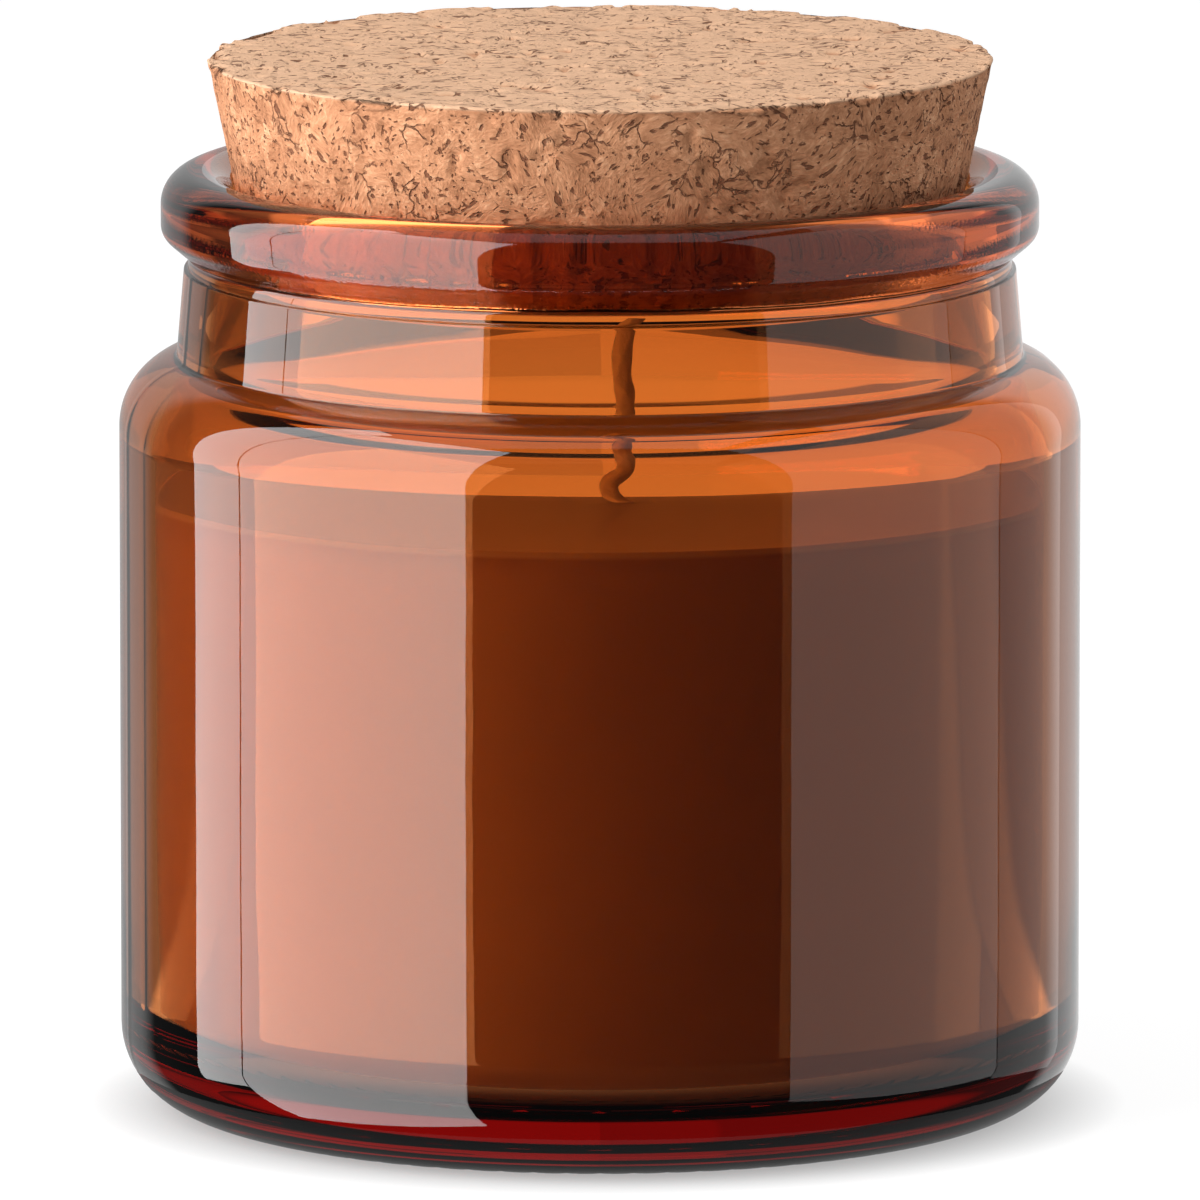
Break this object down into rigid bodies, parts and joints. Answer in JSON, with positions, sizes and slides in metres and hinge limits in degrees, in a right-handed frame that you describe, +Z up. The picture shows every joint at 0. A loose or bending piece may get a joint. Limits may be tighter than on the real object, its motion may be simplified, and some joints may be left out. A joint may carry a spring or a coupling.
{
  "type": "candle jar with cork lid",
  "caption": "Round amber glass jar with a rounded shoulder and beaded rim, closed by a tapered cork stopper, holding a wax candle with a braided wick.",
  "frame": {"origin": "centre of the jar's footprint, on the surface it stands on", "axes": "+Z up along the jar's axis; the view in the picture looks along +Y, with +X to the right"},
  "size_m": [0.08, 0.08, 0.0881],
  "materials": {
    "amber_glass": "smooth pressed amber soda-lime glass, slight orange-peel waviness",
    "cork": "agglomerated cork, granules of 2 to 3 mm, matt, edges slightly chipped",
    "wax": "cream candle wax, satin, slightly translucent",
    "wick_cotton": "braided cotton, waxed",
    "tinned_steel": "thin tinned steel sheet",
    "adhesive_pad": "white foam adhesive pad"
  },
  "bodies": {
    "jar": {"glass_jar": "amber_glass", "wax_fill": "wax", "wick": "wick_cotton", "wick_tab": "tinned_steel", "wick_sticker": "adhesive_pad"},
    "lid": {"cork_stopper": "cork"}
  },
  "joints": [
    {"name": "cork_lift", "type": "slide", "parent": "jar", "child": "lid", "axis": [0, 0, 1], "range_m": [0, 0.06]}
  ]
}
